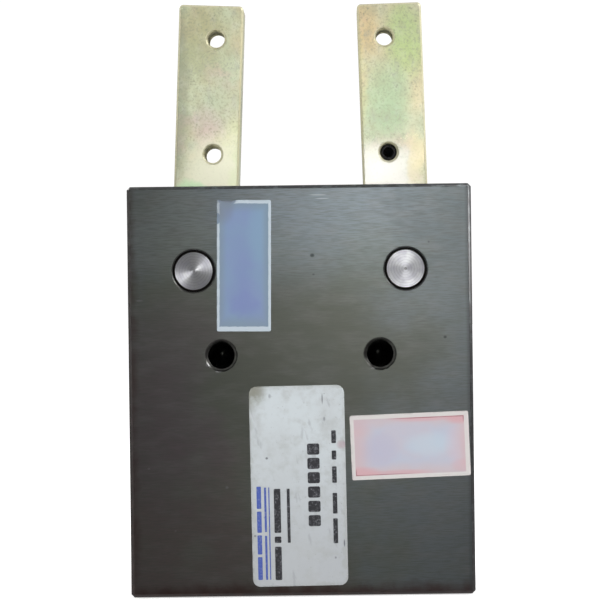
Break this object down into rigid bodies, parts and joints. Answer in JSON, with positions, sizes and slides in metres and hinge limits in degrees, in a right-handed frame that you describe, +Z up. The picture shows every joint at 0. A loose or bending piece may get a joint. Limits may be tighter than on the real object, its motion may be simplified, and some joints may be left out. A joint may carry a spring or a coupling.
{
  "type": "angular pneumatic gripper",
  "caption": "Double-acting pneumatic gripper: dark square block with a slotted top, from which two plated steel fingers swing open and shut on pivot pins.",
  "frame": {"origin": "centre of the body's bottom face", "axes": "+Z up towards the finger tips, X across the jaws with the air ports on +X, -Y out of the labelled front face"},
  "size_m": [0.065, 0.0501, 0.1136],
  "materials": {
    "dark_anodised": "dark grey hard-anodised over a fine horizontal grain",
    "yellow_zinc": "yellow passivated zinc plating",
    "bright_steel": "turned end faces, ground cylinder",
    "bronze": "machined sintered bronze",
    "black_steel": "black oxide, oiled",
    "plain_aluminium": "turned",
    "seal_rubber": "matte nitrile",
    "urethane": "satin cast urethane",
    "guide_plastic": "machined acetal",
    "white_film": "scuffed satin label film",
    "blue_film": "faded blue on white label film",
    "red_film": "faded red on white label film"
  },
  "bodies": {
    "housing": {"body": "dark_anodised", "bottom_cover": "plain_aluminium", "bottom_cover_oring": "seal_rubber", "bottom_circlip": "black_steel", "lower_bumper": "urethane", "upper_bumper": "urethane", "rod_bush": "bronze", "rod_seal": "seal_rubber", "rod_seal_washer": "bright_steel", "rod_seal_circlip": "black_steel", "pivot_pin_left": "bright_steel", "pivot_pin_right": "bright_steel", "pin_set_screws": "black_steel", "type_label": "white_film", "blue_sticker": "blue_film", "red_sticker": "red_film"},
    "piston_group": {"piston": "plain_aluminium", "piston_seal_lower": "seal_rubber", "piston_seal_upper": "seal_rubber", "piston_guide_ring": "guide_plastic", "piston_rod": "bright_steel", "piston_rod_oring": "seal_rubber", "piston_washer": "bright_steel", "piston_screw": "black_steel", "drive_pin": "bright_steel"},
    "left_jaw_group": {"left_jaw": "yellow_zinc", "left_jaw_bush": "bronze"},
    "right_jaw_group": {"right_jaw": "yellow_zinc", "right_jaw_bush": "bronze", "right_finger_screw": "black_steel"}
  },
  "joints": [
    {"name": "piston_slide", "type": "slide", "parent": "housing", "child": "piston_group", "axis": [0, 0, 1], "range_m": [-0.00109, 0.00595]},
    {"name": "left_jaw_pivot", "type": "hinge", "parent": "housing", "child": "left_jaw_group", "pos_m": [-0.02, 0, 0.0615], "axis": [0, -1, 0], "range_deg": [-3.1, 16.9]},
    {"name": "right_jaw_pivot", "type": "hinge", "parent": "housing", "child": "right_jaw_group", "pos_m": [0.02, 0, 0.0615], "axis": [0, 1, 0], "range_deg": [-3.1, 16.9]}
  ],
  "couplings": [
    {"joint": "left_jaw_pivot", "follows": "piston_slide", "rad_per_m": 49.505},
    {"joint": "right_jaw_pivot", "follows": "piston_slide", "rad_per_m": 49.505}
  ]
}
